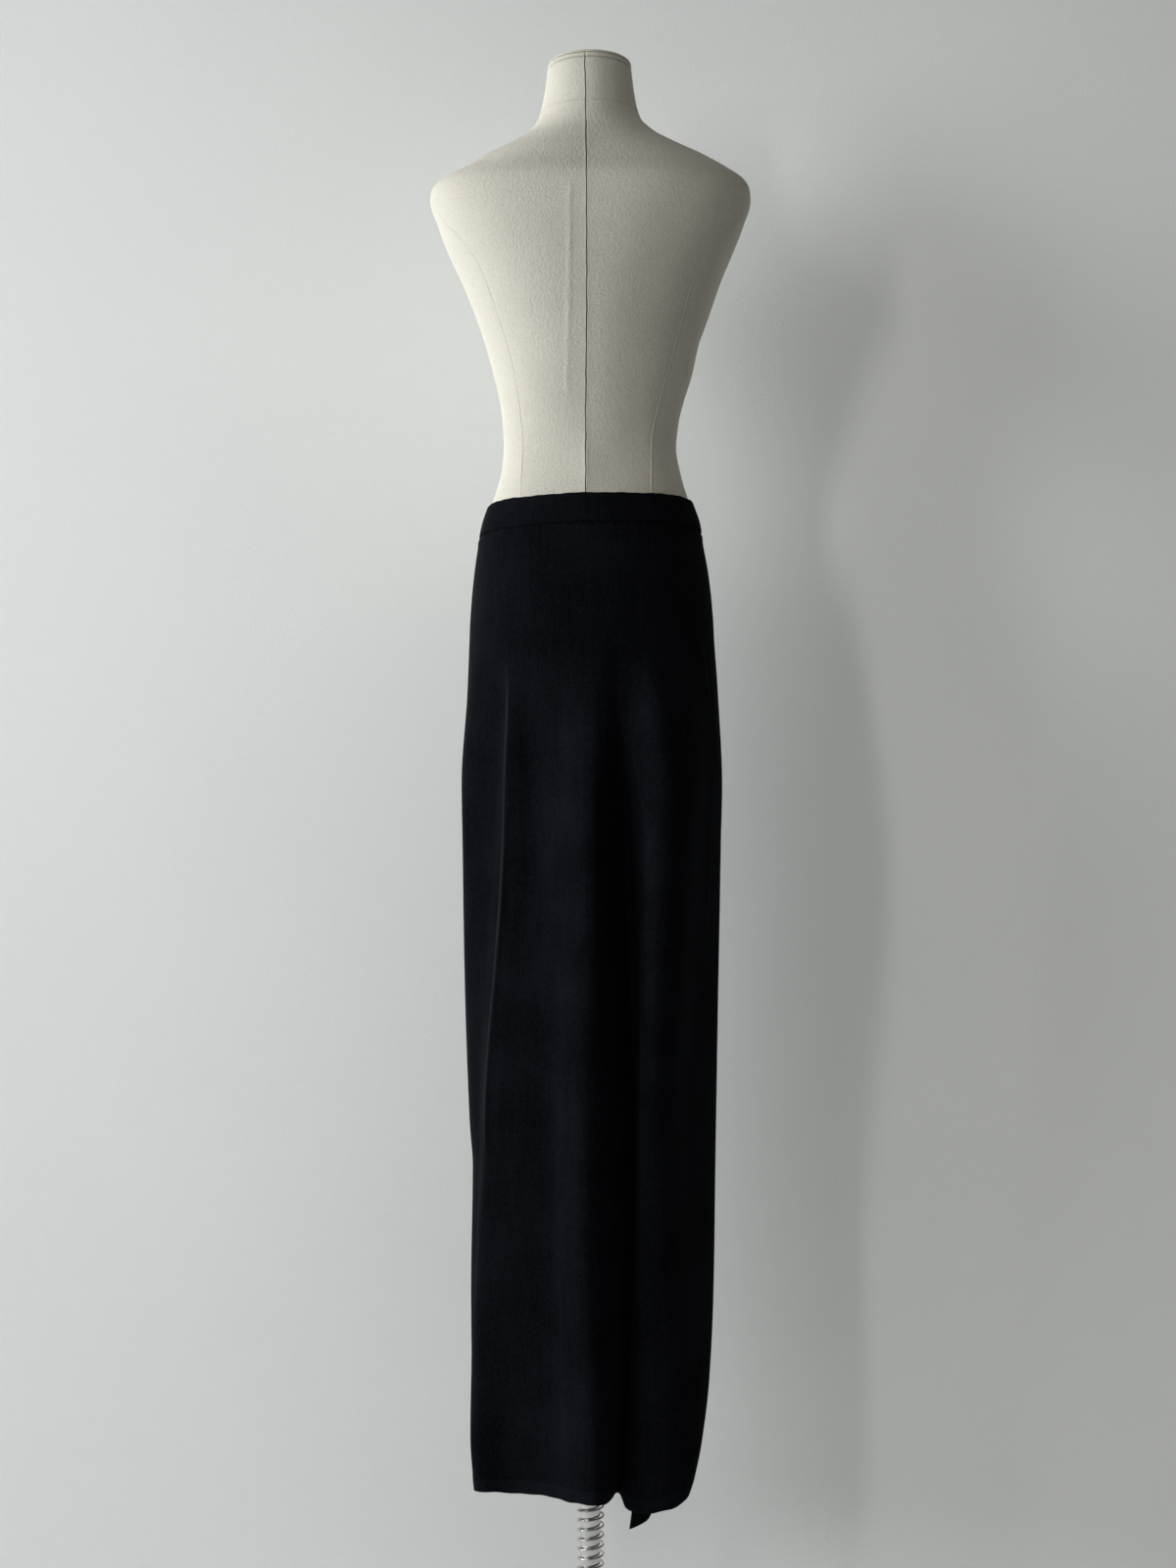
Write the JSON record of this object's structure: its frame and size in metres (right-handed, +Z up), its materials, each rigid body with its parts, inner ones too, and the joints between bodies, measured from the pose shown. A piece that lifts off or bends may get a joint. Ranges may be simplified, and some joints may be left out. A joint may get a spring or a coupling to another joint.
{
  "type": "maxi skirt on a dress form",
  "caption": "Long straight fine-knit skirt with a plain waistband, deep hanging folds, a front slit and a narrow hem band, on a limbless canvas dress form with a sprung pole and a round base.",
  "frame": {"origin": "on the floor under the pole's axis, at the centre of the base plate's underside", "axes": "+Z up; -Y is the wearer's front and +Y the back; +X is the wearer's left"},
  "size_m": [0.4, 0.4, 1.9056],
  "materials": {
    "black_knit": "fine brushed jersey, soft sheen",
    "rib_knit": "fine double knit",
    "canvas": "plain cream canvas",
    "board": "plain board",
    "chrome": "polished",
    "spring_steel": "bright wire",
    "base_metal": "satin"
  },
  "bodies": {
    "root": {"waistband": "rib_knit", "back_panel": "black_knit", "front_panel": "black_knit", "hem_band": "rib_knit", "torso": "canvas", "neck_cap": "canvas", "form_board": "board", "pole": "chrome", "spring": "spring_steel", "collar": "chrome", "hub": "chrome", "base_plate": "base_metal"}
  },
  "joints": []
}
